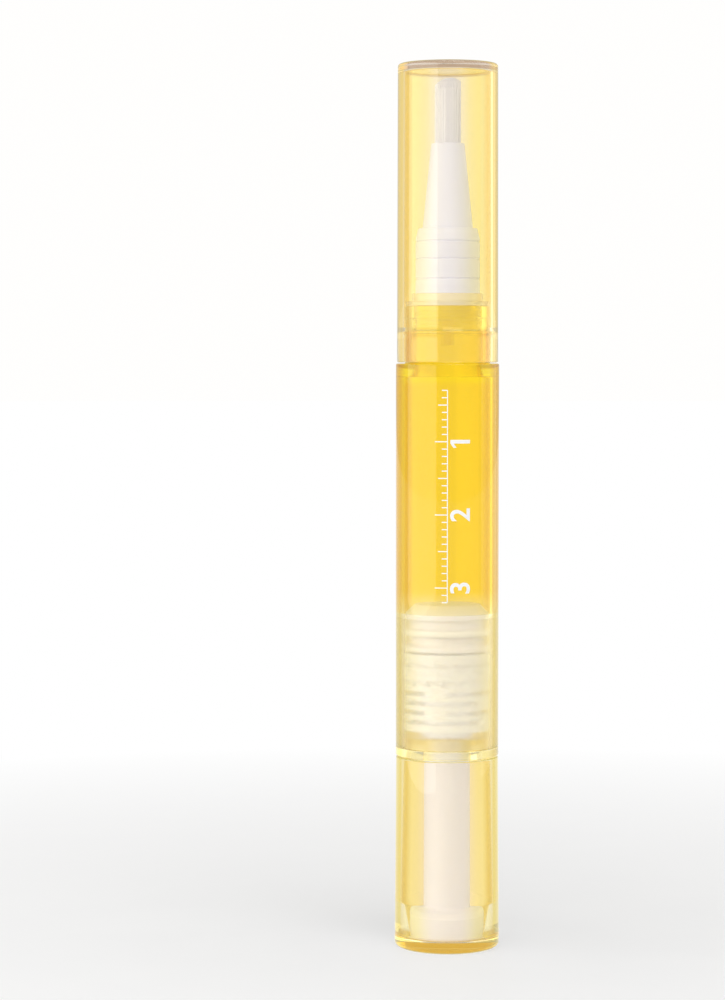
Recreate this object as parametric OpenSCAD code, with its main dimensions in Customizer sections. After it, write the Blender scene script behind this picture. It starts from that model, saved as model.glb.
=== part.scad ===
/* [Barrel] */
// Outside diameter of the clear barrel
barrel_d = 14; // [13.4:0.1:16]
// Wall of the barrel round the oil
barrel_wall = 1.3; // [1.1:0.05:1.5]
// Height of the barrel body, from its lower rim to its shoulder
barrel_body_h = 52.1; // [48:0.1:62]
// Height of the neck above the shoulder
neck_h = 7.8; // [7:0.1:10]
// Wall of the neck
neck_wall = 1.15; // [0.9:0.05:1.4]
// Thickness of the shoulder above the cone inside it
shoulder_wall = 0.65; // [0.5:0.05:1]
// Height of the thicker rim at the top of the neck
neck_rim_h = 1.6; // [1.2:0.1:2]
// How far the rim and the snap bead stand out of the neck
bead_proud = 0.14; // [0.1:0.01:0.2]
// Height of the snap bead round the neck
snap_bead_h = 0.8; // [0.6:0.1:1]
// Middle of the snap bead above the shoulder
snap_bead_up = 4.2; // [2.5:0.1:4.8]
// Rounding of the outer edge of the shoulder and of the lower rim
barrel_edge_r = 0.15; // [0.1:0.05:0.3]
// Depth of the step that the thread nut seats against
nut_step = 0.1; // [0.06:0.02:0.2]

/* [Cap] */
// Wall of the cap
cap_wall = 0.9; // [0.7:0.05:1.1]
// Thickness of the closed end of the cap
cap_end_h = 1; // [0.8:0.1:1.5]
// How far the face of the cap lies inside the face of the barrel
cap_step = 0.15; // [0.1:0.05:0.4]
// How much narrower the closed end is than the rim, at each side
cap_draft = 0.08; // [0:0.01:0.15]
// Rounding of the closed end
cap_edge_r = 0.4; // [0.2:0.1:0.7]
// Air between the tip of the brush and the closed end
tip_gap = 0.6; // [0.4:0.1:1.5]
// Depth of the groove inside the cap that takes the snap bead
cap_groove = 0.15; // [0.1:0.01:0.25]

/* [Brush] */
// Diameter of the tuft
tuft_d = 3.6; // [3:0.1:4]
// Length of the tuft that stands out of the holder
tuft_free_h = 9.1; // [7:0.1:12]
// Length of the tuft inside the holder
tuft_root_h = 6; // [4:0.1:8]
// Thickness of the fused slice at the root of the tuft
tuft_backing_h = 1; // [0.6:0.1:1.5]
// Hole through the fused slice, for the oil
tuft_hole_d = 0.8; // [0.6:0.1:1]
// Thickness of one strand
strand_d = 0.14; // [0.12:0.01:0.15]
// Distance between the middles of neighbouring strands
strand_pitch = 0.165; // [0.16:0.005:0.18]
// How much shorter the outermost strands are than the middle ones
tuft_crown_h = 0.75; // [0.4:0.05:1]
// How much the tip leans, from its low side to its high side
tuft_slant_h = 0.5; // [0:0.05:0.8]

/* [Brush holder] */
// Height of the collar
holder_collar_h = 8.4; // [7:0.1:10]
// How far the sloped shoulder draws in
holder_shoulder_in = 0.35; // [0.2:0.05:0.6]
// Height of the sloped shoulder
holder_shoulder_h = 1.5; // [1:0.1:2]
// Step from the top of the shoulder in to the foot of the cone
cone_step = 0.6; // [0.3:0.1:0.9]
// Height of the cone
cone_h = 11.4; // [9:0.1:14]
// Wall of the cone round the tuft, at its top
cone_tip_wall = 0.4; // [0.35:0.05:0.6]
// Width of each fine ring groove
ring_groove_w = 0.22; // [0.15:0.01:0.3]
// Depth of each fine ring groove
ring_groove_depth = 0.12; // [0.08:0.01:0.2]
// Length of the spigot that plugs into the neck
holder_spigot_h = 2.1; // [1.6:0.1:2.3]

/* [Feed tube] */
// Outside diameter of the feed tube
feed_d = 1.6; // [1.4:0.1:1.9]
// Wall of the feed tube
feed_wall = 0.35; // [0.25:0.05:0.4]
// How far the feed tube dips into the oil
feed_dip = 1.8; // [1:0.1:2.5]

/* [Neck plug] */
// Height of the flange that rests on the neck
plug_flange_h = 0.6; // [0.5:0.05:0.8]
// How far the plug reaches down the neck
plug_h = 3.4; // [3:0.1:3.8]
// Wall of the plug round the spigot of the holder
plug_wall = 1.57; // [1.3:0.01:1.9]
// Height of the lip round the foot of the holder
plug_lip_h = 1.1; // [0.8:0.1:1.5]
// Wall of that lip
plug_lip_wall = 0.45; // [0.35:0.05:0.6]
// Air between that lip and the cap
plug_lip_air = 1.12; // [0.9:0.01:1.4]
// Width of each sealing groove round the plug
plug_groove_w = 0.6; // [0.4:0.1:0.7]
// Depth of each sealing groove
plug_groove_depth = 0.25; // [0.15:0.05:0.4]

/* [Piston] */
// Height of the piston with its nose
piston_h = 6.3; // [6:0.1:7.5]
// Height of each sealing lip
piston_lip_h = 0.9; // [0.7:0.1:1.1]
// Height of the sloped nose
piston_nose_h = 1.3; // [1:0.1:1.5]
// How far the lips stand out of the waist
piston_lip_depth = 0.55; // [0.4:0.05:0.7]
// Wall of the skirt
piston_skirt_wall = 0.8; // [0.6:0.05:1]
// Thickness of the sealing ring
seal_ring_d = 1; // [0.8:0.05:1.1]
// Wall of the boss that holds the head of the screw
boss_wall = 0.8; // [0.6:0.05:1]

/* [Lead screw] */
// Diameter of the screw
screw_d = 3.9; // [3.6:0.1:4.2]
// Distance across its two flats
screw_flats_w = 3.3; // [3:0.1:3.4]
// Diameter of the neck under its head
screw_neck_d = 2.8; // [2.4:0.1:3]
// Length of that neck
screw_neck_h = 1.2; // [1:0.1:1.4]
// Height of its head
screw_head_h = 1.6; // [1.3:0.1:1.8]
// Space under the screw when the pen is full
screw_floor_gap = 0.7; // [0.5:0.1:1.5]

/* [Thread nut] */
// Height of the threaded web of the nut
nut_web_h = 2.9; // [2.4:0.1:4]
// Depth of the recess over the end of the drive tube
nut_recess_h = 0.6; // [0.5:0.1:1]
// Width and depth of the relief groove round the nut
nut_relief_w = 0.5; // [0.4:0.1:0.8]

/* [Click sleeve] */
// Wall of the click sleeve
click_wall = 0.9; // [0.7:0.05:1.1]
// Air between the click sleeve and the barrel
click_air = 0.15; // [0.1:0.01:0.25]
// Height of its keyed base
click_base_h = 1; // [0.8:0.1:1.4]
// Height of each spring slot
slot_h = 0.6; // [0.4:0.05:0.8]
// Height of the material between two rows of slots
slot_land_h = 0.7; // [0.5:0.05:0.9]
// Rows of spring slots
slot_rows = 4; // [2:1:5]
// Height of the ring that carries the teeth
click_ring_h = 0.7; // [0.5:0.1:1.2]
// Height of the ratchet teeth
tooth_h = 0.7; // [0.5:0.05:0.9]
// Teeth in each ratchet crown
tooth_count = 16; // [12:1:24]

/* [Drive tube] */
// Outside diameter of the drive tube
post_d = 6.3; // [5.9:0.1:6.8]
// Height of its foot
foot_h = 3.5; // [3:0.1:4.5]
// Bevel of the foot
foot_bevel = 0.6; // [0.3:0.1:1]
// How far the snap bead stands out of the tube
post_bead_proud = 0.3; // [0.2:0.05:0.4]
// Height of that bead
post_bead_h = 0.7; // [0.5:0.1:1]
// Width of each drive groove
key_w = 1; // [0.8:0.1:1.3]
// Depth of each drive groove
key_depth = 0.35; // [0.25:0.05:0.4]
// Number of drive grooves
key_count = 4; // [2:1:6]

/* [Collar ring] */
// Height of the ring that shows between the barrel and the knob
collar_h = 1.3; // [1:0.1:2]
// Length of its spigot inside the barrel
collar_spigot_h = 1.5; // [1.2:0.1:2.5]

/* [Knob] */
// Height of the knob
knob_h = 26.05; // [24:0.05:32]
// Wall of the knob
knob_wall = 0.9; // [0.7:0.05:1.2]
// Thickness of its floor
knob_floor_h = 1.5; // [1.2:0.1:2]
// Wall round the foot of the drive tube
socket_wall = 1.85; // [1.5:0.05:2.2]
// Depth of the socket for that foot
socket_h = 2.8; // [2:0.1:3]
// Height of the slope above the socket
socket_slope_h = 2; // [1.5:0.1:3]
// Rounding of the lower edge
knob_edge_r = 0.7; // [0.4:0.1:1]
// How far the knob spreads past the barrel at its base
knob_flare = 0.15; // [0:0.05:0.3]
// How far the top of the knob lies inside the face of the barrel
knob_step = 0.05; // [0:0.05:0.2]

/* [Clearances] */
// Gap round what turns or slides
running_gap = 0.1; // [0.06:0.01:0.14]
// Gap round what is pressed together
press_gap = 0.03; // [0.02:0.01:0.05]
// Gap between the cap and the neck rim
cap_fit = 0.07; // [0.05:0.01:0.1]
// Gap between the cap and the shoulder, and between the knob and the collar ring
rim_gap = 0.15; // [0.1:0.01:0.25]
// Gap between the piston lips and the barrel
piston_fit = 0.07; // [0.04:0.01:0.1]
// Space between the piston and the nut when the pen is full
piston_rest_gap = 0.3; // [0.2:0.1:0.5]

/* [Hidden] */
$fn = 96;

// Every cut runs past the face that it starts from by this much
overrun = 0.2;

// Radii of the barrel and of what runs in it
barrel_r = barrel_d / 2;
bore_r = barrel_r - barrel_wall;
nut_bore_r = bore_r + nut_step;
cap_r = barrel_r - cap_step;
cap_bore_r = cap_r - cap_wall;
neck_rim_r = cap_bore_r - cap_fit;
neck_r = neck_rim_r - bead_proud;
neck_bore_r = neck_rim_r - neck_wall;
post_r = post_d / 2;
post_hole_r = post_r + running_gap;
screw_r = screw_d / 2;
feed_r = feed_d / 2;

// The plug in the neck, and the collar and spigot of the holder that seat in it
plug_body_r = neck_bore_r - press_gap;
plug_seat_r = plug_body_r - plug_wall;
plug_lip_r = cap_bore_r - plug_lip_air;
holder_spigot_r = plug_seat_r - press_gap;
holder_r = plug_lip_r - plug_lip_wall - press_gap;

// Heights, from the base of the knob upwards
collar_z = knob_h + rim_gap;
barrel_z = collar_z + collar_h;
collar_top_z = barrel_z + collar_spigot_h;
post_bead_z = collar_top_z + running_gap;
click_z = post_bead_z + post_bead_h + running_gap;
slots_z = click_z + click_base_h;
slots_h = slot_rows * slot_h + (slot_rows - 1) * slot_land_h;
click_ring_z = slots_z + slots_h;
click_teeth_z = click_ring_z + click_ring_h;
nut_z = click_teeth_z + tooth_h + running_gap;
nut_web_z = nut_z + nut_recess_h;
nut_top_z = nut_web_z + nut_web_h;
post_top_z = nut_web_z - 2 * running_gap;
piston_z = nut_top_z + piston_rest_gap;
piston_top_z = piston_z + piston_h;
piston_nose_z = piston_top_z - piston_nose_h;
shoulder_z = barrel_z + barrel_body_h;
inner_cone_z = shoulder_z - shoulder_wall - (bore_r - neck_bore_r);
neck_top_z = shoulder_z + neck_h;
plug_z = neck_top_z - plug_h;
holder_z = neck_top_z + plug_flange_h;
holder_spigot_z = holder_z - holder_spigot_h;
holder_shoulder_z = holder_z + holder_collar_h;
cone_z = holder_shoulder_z + holder_shoulder_h;
holder_top_z = cone_z + cone_h;
tuft_z = holder_top_z - tuft_root_h;
tuft_top_z = holder_top_z + tuft_free_h;
cap_z = shoulder_z + rim_gap;
cap_top_z = tuft_top_z + tip_gap + cap_end_h;

// The socket in the knob and the foot pressed into it
socket_r = barrel_r + knob_flare - socket_wall;
foot_r = socket_r - press_gap;

// The head of the lead screw, and the boss of the piston that it turns in
screw_head_r = screw_r + running_gap;
boss_r = screw_head_r + running_gap + boss_wall;
boss_z = piston_z + piston_rest_gap;
boss_entry_h = screw_neck_h - 2 * running_gap;
boss_room_z = boss_z + boss_entry_h;
screw_shoulder_z = boss_z - running_gap;
screw_head_z = screw_shoulder_z + screw_neck_h;

// The piston's outer radii, and the groove for its ring
lip_r = bore_r - piston_fit;
waist_r = lip_r - piston_lip_depth;
ring_r = bore_r - piston_fit - seal_ring_d / 2;
ring_groove_r = ring_r - seal_ring_d / 2 - press_gap;
ring_groove_h = seal_ring_d + 2 * press_gap;
upper_lip_z = piston_nose_z - piston_lip_h;
ring_z = (piston_z + piston_lip_h + upper_lip_z) / 2;

// The ratchet crowns: each tooth is a wedge, a little narrower than the pitch at the inner edge
crown_r = bore_r - click_air;
crown_in_r = crown_r - click_wall;
tooth_share = 0.95;
tooth_w = tooth_share * crown_in_r * sin(360 / tooth_count);
slot_share = 0.83;

// Places of the three fine rings, as shares of the height of the holder's collar
ring_groove_shares = [0.37, 0.69, 0.965];
// Places of the two sealing grooves, as shares of the height of the plug
plug_groove_shares = [0.26, 0.62];

// A solid turned about the pen's axis from its half outline
module turned(outline) {
    rotate_extrude() polygon(outline);
}

// A plain ring or disc between two heights
module ring(outer_r, inner_r, low_z, high_z) {
    translate([0, 0, low_z]) rotate_extrude()
        translate([inner_r, 0]) square([outer_r - inner_r, high_z - low_z]);
}

// A round hole along the axis, which runs past both of its ends
module axis_hole(r, low_z, high_z) {
    translate([0, 0, low_z - overrun]) cylinder(r = r, h = high_z - low_z + 2 * overrun);
}

// The round of the screw less its two flats, as a flat shape
module two_flats(r, flats_w) {
    intersection() {
        circle(r = r);
        square([2 * r + overrun, flats_w], center = true);
    }
}

// A row of drive keys or grooves, reaching from the inner to the outer radius
module drive_keys(inner_r, outer_r, w, low_z, high_z) {
    for (i = [0 : key_count - 1]) {
        rotate([0, 0, i * 360 / key_count])
            translate([inner_r, -w / 2, low_z])
                cube([outer_r - inner_r, w, high_z - low_z]);
    }
}

// Saw teeth round the axis, each a wedge that runs outwards. Its side view is the outline
module teeth(outline, low_z) {
    intersection() {
        ring(crown_r, crown_in_r, low_z - overrun, low_z + tooth_h + overrun);
        for (i = [0 : tooth_count - 1]) {
            rotate([0, 0, i * 360 / tooth_count])
                translate([0, 0, low_z])
                    rotate([90, 0, 90]) linear_extrude(crown_r + overrun) polygon(outline);
        }
    }
}

// Clear knob: a shell with a thick socket round the foot of the drive tube
module knob() {
    base_r = barrel_r + knob_flare;
    top_r = barrel_r - knob_step;
    slope_z = knob_floor_h + socket_h;
    color([0.98, 0.9, 0.62, 0.45]) rotate_extrude() difference() {
        union() {
            square([base_r - knob_edge_r, knob_h]);
            translate([base_r - knob_edge_r, knob_edge_r]) circle(r = knob_edge_r);
            polygon([[0, knob_edge_r], [base_r, knob_edge_r], [top_r, knob_h], [0, knob_h]]);
        }
        polygon([
            [0, knob_floor_h],
            [socket_r, knob_floor_h],
            [socket_r, slope_z],
            [base_r - knob_wall, slope_z + socket_slope_h],
            [top_r - knob_wall, knob_h],
            [top_r - knob_wall, knob_h + overrun],
            [0, knob_h + overrun]
        ]);
    }
}

// White drive tube: it shows through the knob, and turns the screw by its two flats
module drive_tube() {
    foot_top_z = knob_floor_h + foot_h;
    bead_r = post_r + post_bead_proud;
    color([0.96, 0.94, 0.95]) difference() {
        turned([
            [0, knob_floor_h],
            [foot_r, knob_floor_h],
            [foot_r, foot_top_z - foot_bevel],
            [foot_r - foot_bevel, foot_top_z],
            [post_r, foot_top_z],
            [post_r, post_bead_z],
            [bead_r, post_bead_z],
            [bead_r, post_bead_z + post_bead_h / 2],
            [post_r, post_bead_z + post_bead_h],
            [post_r, post_top_z],
            [0, post_top_z]
        ]);
        translate([0, 0, knob_floor_h - overrun])
            linear_extrude(post_top_z - knob_floor_h + 2 * overrun)
                two_flats(screw_r + running_gap, screw_flats_w + 2 * running_gap);
        drive_keys(post_r - key_depth, post_r + post_bead_proud + overrun, key_w,
                   click_z - running_gap, post_top_z + overrun);
    }
}

// Clear ring between the barrel and the knob, pressed into the barrel by its spigot
module collar_ring() {
    color([0.97, 0.93, 0.86, 0.6]) difference() {
        turned([
            [0, collar_z],
            [barrel_r - barrel_edge_r, collar_z],
            [barrel_r, collar_z + barrel_edge_r],
            [barrel_r, barrel_z - barrel_edge_r],
            [barrel_r - barrel_edge_r, barrel_z],
            [nut_bore_r - press_gap, barrel_z],
            [nut_bore_r - press_gap, collar_top_z - barrel_edge_r],
            [nut_bore_r - press_gap - barrel_edge_r, collar_top_z],
            [0, collar_top_z]
        ]);
        axis_hole(post_hole_r, collar_z, collar_top_z);
    }
}

// Moulded click sleeve: a keyed base, a slotted wall that gives, and a crown of teeth
module click_sleeve() {
    slot_angle = 180 * slot_share;
    tooth_foot_w = tooth_w * (tooth_h + overrun) / tooth_h;
    color([0.93, 0.91, 0.88]) {
        difference() {
            union() {
                ring(crown_r, post_hole_r, click_z, slots_z);
                ring(crown_r, crown_in_r, slots_z, click_teeth_z);
                teeth([[0, -overrun], [tooth_foot_w, -overrun], [0, tooth_h]], click_teeth_z);
            }
            for (row = [0 : slot_rows - 1], side = [0, 1]) {
                rotate([0, 0, row * 90 + side * 180])
                    translate([0, 0, slots_z + row * (slot_h + slot_land_h)])
                        rotate_extrude(angle = slot_angle)
                            translate([crown_in_r - overrun, 0])
                                square([click_wall + 2 * overrun, slot_h]);
            }
        }
        intersection() {
            drive_keys(post_r - key_depth + running_gap / 2, post_hole_r + overrun,
                       key_w - running_gap, click_z, slots_z);
            ring(crown_r, 0, click_z, slots_z);
        }
    }
}

// Thread nut, pressed up against the step in the barrel, with the fixed crown under it
module thread_nut() {
    nut_r = nut_bore_r - press_gap;
    relief_z = (nut_web_z + nut_top_z - nut_relief_w) / 2;
    relief_r = nut_r - nut_relief_w;
    tooth_tip_h = tooth_h * running_gap / tooth_w;
    color([0.95, 0.94, 0.9]) {
        turned([
            [screw_r + running_gap, nut_web_z],
            [crown_in_r, nut_web_z],
            [crown_in_r, nut_z],
            [nut_r, nut_z],
            [nut_r, relief_z],
            [relief_r, relief_z],
            [relief_r, relief_z + nut_relief_w],
            [nut_r, relief_z + nut_relief_w],
            [nut_r, nut_top_z],
            [screw_r + running_gap, nut_top_z]
        ]);
        teeth([
            [0, tooth_h],
            [tooth_w - running_gap, tooth_tip_h],
            [tooth_w - running_gap, tooth_h + overrun],
            [0, tooth_h + overrun]
        ], nut_z - tooth_h);
    }
}

// Lead screw: a rod with two flats, and a head that turns in the piston
module lead_screw() {
    screw_z = knob_floor_h + screw_floor_gap;
    neck_r = screw_neck_d / 2;
    head_top_z = screw_head_z + screw_head_h;
    bevel = screw_r - screw_flats_w / 2;
    color([0.9, 0.9, 0.88]) {
        intersection() {
            translate([0, 0, screw_z]) linear_extrude(screw_shoulder_z - screw_z)
                two_flats(screw_r, screw_flats_w);
            turned([
                [0, screw_z],
                [screw_r - bevel, screw_z],
                [screw_r, screw_z + bevel],
                [screw_r, screw_shoulder_z],
                [0, screw_shoulder_z]
            ]);
        }
        turned([
            [0, screw_shoulder_z - overrun],
            [neck_r, screw_shoulder_z - overrun],
            [neck_r, screw_head_z],
            [screw_head_r, screw_head_z],
            [screw_head_r, screw_head_z + screw_head_h / 2],
            [neck_r, head_top_z],
            [0, head_top_z]
        ]);
    }
}

// Frosted piston: two sealing lips, a groove for the ring, and a boss for the screw head
module piston() {
    skirt_r = waist_r - piston_skirt_wall;
    skirt_top_z = ring_z - ring_groove_h / 2;
    nose_r = lip_r - piston_nose_h;
    lip_slope_h = piston_lip_depth / 2;
    room_r = screw_head_r + running_gap;
    room_top_z = screw_head_z + screw_head_h + running_gap;
    color([0.97, 0.95, 0.9]) difference() {
        turned([
            [0, piston_z],
            [lip_r, piston_z],
            [lip_r, piston_z + piston_lip_h - lip_slope_h],
            [waist_r, piston_z + piston_lip_h],
            [waist_r, ring_z - ring_groove_h / 2],
            [ring_groove_r, ring_z - ring_groove_h / 2],
            [ring_groove_r, ring_z + ring_groove_h / 2],
            [waist_r, ring_z + ring_groove_h / 2],
            [waist_r, upper_lip_z],
            [lip_r, upper_lip_z + lip_slope_h],
            [lip_r, piston_nose_z],
            [nose_r, piston_top_z],
            [0, piston_top_z]
        ]);
        difference() {
            ring(skirt_r, 0, piston_z - overrun, skirt_top_z);
            ring(boss_r, 0, boss_z, skirt_top_z + overrun);
        }
        axis_hole(screw_neck_d / 2 + running_gap, boss_z, boss_room_z);
        ring(room_r, 0, boss_room_z, room_top_z);
    }
}

// Soft ring in the groove of the piston
module piston_ring() {
    color([0.99, 0.97, 0.93]) translate([0, 0, ring_z]) rotate_extrude()
        translate([ring_r, 0]) circle(r = seal_ring_d / 2);
}

// The oil, from the nose of the piston up to the plug in the neck
module oil_fill() {
    side_r = bore_r - press_gap;
    throat_r = neck_bore_r - press_gap;
    nose_r = lip_r - piston_nose_h;
    low_z = piston_top_z + running_gap;
    high_z = plug_z - press_gap;
    color([0.99, 0.84, 0.2, 0.9]) difference() {
        turned([
            [0, low_z],
            [nose_r, low_z],
            [side_r, low_z - (side_r - nose_r)],
            [side_r, inner_cone_z],
            [throat_r, inner_cone_z + side_r - throat_r],
            [throat_r, high_z],
            [0, high_z]
        ]);
        ring(feed_r + press_gap, 0, plug_z - feed_dip - press_gap, plug_z + overrun);
    }
}

// Clear barrel: the nut seats against a step below, and the neck takes the plug and the cap
module barrel() {
    neck_z = inner_cone_z + bore_r - neck_bore_r;
    bead_z = shoulder_z + snap_bead_up;
    bead_low_z = bead_z - snap_bead_h / 2;
    bead_high_z = bead_z + snap_bead_h / 2;
    rim_z = neck_top_z - neck_rim_h;
    color([0.98, 0.95, 0.85, 0.4]) turned([
        [nut_bore_r, barrel_z],
        [barrel_r - barrel_edge_r, barrel_z],
        [barrel_r, barrel_z + barrel_edge_r],
        [barrel_r, shoulder_z - barrel_edge_r],
        [barrel_r - barrel_edge_r, shoulder_z],
        [neck_r, shoulder_z],
        [neck_r, bead_low_z],
        [neck_rim_r, bead_low_z + bead_proud],
        [neck_rim_r, bead_high_z - bead_proud],
        [neck_r, bead_high_z],
        [neck_r, rim_z - bead_proud],
        [neck_rim_r, rim_z],
        [neck_rim_r, neck_top_z - barrel_edge_r],
        [neck_rim_r - barrel_edge_r, neck_top_z],
        [neck_bore_r, neck_top_z],
        [neck_bore_r, neck_z],
        [bore_r, inner_cone_z],
        [bore_r, nut_top_z],
        [nut_bore_r, nut_top_z]
    ]);
}

// Clear plug in the neck, with a seat for the holder and a hole for the feed tube
module neck_plug() {
    flange_r = neck_rim_r - barrel_edge_r;
    lip_in_r = plug_lip_r - plug_lip_wall;
    color([0.98, 0.93, 0.78, 0.6]) difference() {
        turned([
            [feed_r + press_gap, plug_z],
            [plug_body_r - plug_groove_depth, plug_z],
            [plug_body_r, plug_z + plug_groove_depth],
            [plug_body_r, neck_top_z],
            [flange_r, neck_top_z],
            [flange_r, holder_z],
            [plug_lip_r, holder_z],
            [plug_lip_r, holder_z + plug_lip_h],
            [lip_in_r, holder_z + plug_lip_h],
            [lip_in_r, holder_z],
            [plug_seat_r, holder_z],
            [plug_seat_r, holder_spigot_z],
            [feed_r + press_gap, holder_spigot_z]
        ]);
        for (share = plug_groove_shares) {
            low_z = plug_z + share * plug_h;
            ring(neck_r, plug_body_r - plug_groove_depth, low_z, low_z + plug_groove_w);
        }
    }
}

// Feed tube from the oil up to the root of the tuft
module feed_tube() {
    color([0.95, 0.95, 0.93]) ring(feed_r, feed_r - feed_wall, plug_z - feed_dip, tuft_z);
}

// White brush holder: a collar with fine rings, a sloped shoulder and a cone
module brush_holder() {
    shoulder_r = holder_r - holder_shoulder_in;
    tuft_socket_r = tuft_d / 2 + press_gap;
    cone_top_r = tuft_socket_r + cone_tip_wall;
    color([0.95, 0.93, 0.97]) difference() {
        turned([
            [feed_r + press_gap, holder_spigot_z],
            [holder_spigot_r, holder_spigot_z],
            [holder_spigot_r, holder_z],
            [holder_r, holder_z],
            [holder_r, holder_shoulder_z],
            [shoulder_r, cone_z],
            [shoulder_r - cone_step, cone_z],
            [cone_top_r, holder_top_z],
            [tuft_socket_r, holder_top_z],
            [tuft_socket_r, tuft_z],
            [feed_r + press_gap, tuft_z]
        ]);
        for (share = ring_groove_shares) {
            low_z = holder_z + share * holder_collar_h - ring_groove_w / 2;
            ring(holder_r + overrun, holder_r - ring_groove_depth, low_z, low_z + ring_groove_w);
        }
    }
}

// Places of the strands: rows of a honeycomb inside the tuft, clear of the oil hole
strand_rows = ceil(tuft_d / strand_pitch);
strand_row_step = strand_pitch * sin(60);
strand_reach_r = (tuft_d - strand_d) / 2;
strand_clear_r = (tuft_hole_d + strand_d) / 2;
strand_places = [
    for (row = [-strand_rows : strand_rows], place = [-strand_rows : strand_rows])
        let (x = (place + abs(row % 2) / 2) * strand_pitch, y = row * strand_row_step)
            if (norm([x, y]) < strand_reach_r && norm([x, y]) > strand_clear_r) [x, y]
];

// Height of the top of a strand: lower at the rim, and lower on one side than on the other
function strand_top_z(place) =
    tuft_top_z
    - tuft_crown_h * pow(norm(place) / strand_reach_r, 2)
    - tuft_slant_h * (1 - place[0] / strand_reach_r) / 2;

// The tuft: straight strands that stand on a fused slice, and end in a slanted crown
module brush_tuft() {
    color([0.97, 0.96, 0.99]) {
        ring(tuft_d / 2, tuft_hole_d / 2, tuft_z, tuft_z + tuft_backing_h);
        for (place = strand_places) {
            low_z = tuft_z + tuft_backing_h / 2;
            translate([place[0], place[1], low_z])
                linear_extrude(strand_top_z(place) - low_z) circle(d = strand_d, $fn = 4);
        }
    }
}

// Clear cap: a thin shell that slides over the neck, with a groove for the snap bead
module cap() {
    end_r = cap_r - cap_draft;
    end_bore_r = end_r - cap_wall;
    room_top_z = cap_top_z - cap_end_h;
    groove_z = shoulder_z + snap_bead_up;
    groove_r = cap_bore_r + cap_groove;
    groove_half_h = snap_bead_h / 2 + running_gap;
    color([0.99, 0.97, 0.88, 0.35]) rotate_extrude() difference() {
        union() {
            polygon([[0, cap_z], [cap_r, cap_z], [end_r, cap_top_z - cap_edge_r],
                     [0, cap_top_z - cap_edge_r]]);
            square_z = cap_top_z - cap_edge_r;
            translate([0, square_z - overrun])
                square([end_r - cap_edge_r, cap_edge_r + overrun]);
            translate([end_r - cap_edge_r, square_z]) circle(r = cap_edge_r);
        }
        polygon([
            [0, cap_z - overrun],
            [cap_bore_r, cap_z - overrun],
            [cap_bore_r, groove_z - groove_half_h],
            [groove_r, groove_z - groove_half_h + cap_groove],
            [groove_r, groove_z + groove_half_h - cap_groove],
            [cap_bore_r, groove_z + groove_half_h],
            [cap_bore_r, neck_top_z],
            [end_bore_r, room_top_z],
            [0, room_top_z]
        ]);
    }
}

knob();
drive_tube();
collar_ring();
click_sleeve();
thread_nut();
lead_screw();
piston();
piston_ring();
oil_fill();
barrel();
neck_plug();
feed_tube();
brush_holder();
brush_tuft();
cap();
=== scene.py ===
import logging
import math
import random
from dataclasses import dataclass
from enum import Enum

import bpy
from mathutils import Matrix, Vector


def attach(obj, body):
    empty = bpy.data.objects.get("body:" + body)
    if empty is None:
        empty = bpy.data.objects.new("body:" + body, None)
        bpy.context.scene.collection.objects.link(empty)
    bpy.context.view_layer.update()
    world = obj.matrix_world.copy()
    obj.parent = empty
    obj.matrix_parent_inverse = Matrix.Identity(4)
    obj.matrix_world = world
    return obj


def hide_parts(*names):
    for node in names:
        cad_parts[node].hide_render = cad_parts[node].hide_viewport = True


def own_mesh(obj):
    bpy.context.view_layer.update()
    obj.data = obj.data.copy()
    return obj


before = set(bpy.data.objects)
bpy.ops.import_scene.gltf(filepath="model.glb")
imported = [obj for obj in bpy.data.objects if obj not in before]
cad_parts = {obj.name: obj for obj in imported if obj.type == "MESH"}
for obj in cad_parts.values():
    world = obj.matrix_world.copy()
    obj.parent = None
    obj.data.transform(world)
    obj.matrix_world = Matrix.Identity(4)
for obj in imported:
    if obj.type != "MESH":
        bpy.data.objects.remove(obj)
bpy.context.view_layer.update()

LOG = logging.getLogger("pen")
MM = 0.001
EDGE_SHARE = 0.48  # the most of an edge that one rounded corner takes up
LAMP_SHADE = 0.1  # the share of a lamp's light that a face of a clear piece holds back
Colour = tuple[float, float, float]
Place = tuple[float, float, float]
Point = tuple[float, float]
Span = tuple[float, float]
Piece = bpy.types.Object
Material = bpy.types.Material
Tree = bpy.types.NodeTree
Node = bpy.types.Node
Socket = bpy.types.NodeSocket
Looks = dict[str, Material]
Corner = tuple[float, ...]  # radius and height in millimetres, and how round it is if it isn't sharp


class Body(str, Enum):
    """The bodies of the frame that pieces ride on."""

    BARREL = "barrel"
    KNOB = "knob"
    PISTON = "piston"
    SCREW = "lead_screw"
    CAP = "cap"


class Key(str, Enum):
    """Shader nodes by a short name."""

    COORD = "ShaderNodeTexCoord"
    MAPPING = "ShaderNodeMapping"
    NOISE = "ShaderNodeTexNoise"
    VORONOI = "ShaderNodeTexVoronoi"
    RANGE = "ShaderNodeMapRange"
    MATH = "ShaderNodeMath"
    MIX = "ShaderNodeMix"
    BUMP = "ShaderNodeBump"
    GROUP = "ShaderNodeGroup"
    FACING = "ShaderNodeLayerWeight"
    PATH = "ShaderNodeLightPath"
    SPLIT = "ShaderNodeSeparateXYZ"
    VECTOR = "ShaderNodeVectorMath"


# ---- modelling ----


def deselect() -> None:
    """Leaves object mode and deselects every object."""
    if bpy.context.object and bpy.context.object.mode != "OBJECT":
        bpy.ops.object.mode_set(mode="OBJECT")
    bpy.ops.object.select_all(action="DESELECT")


def activate(piece: Piece) -> None:
    """Selects one object alone and makes it active.

    Args:
        piece: the object.
    """
    deselect()
    piece.select_set(True)
    bpy.context.view_layer.objects.active = piece


def open_mesh() -> None:
    """Opens the active object's mesh in edit mode with everything selected."""
    bpy.ops.object.mode_set(mode="EDIT")
    bpy.ops.mesh.select_all(action="SELECT")


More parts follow.
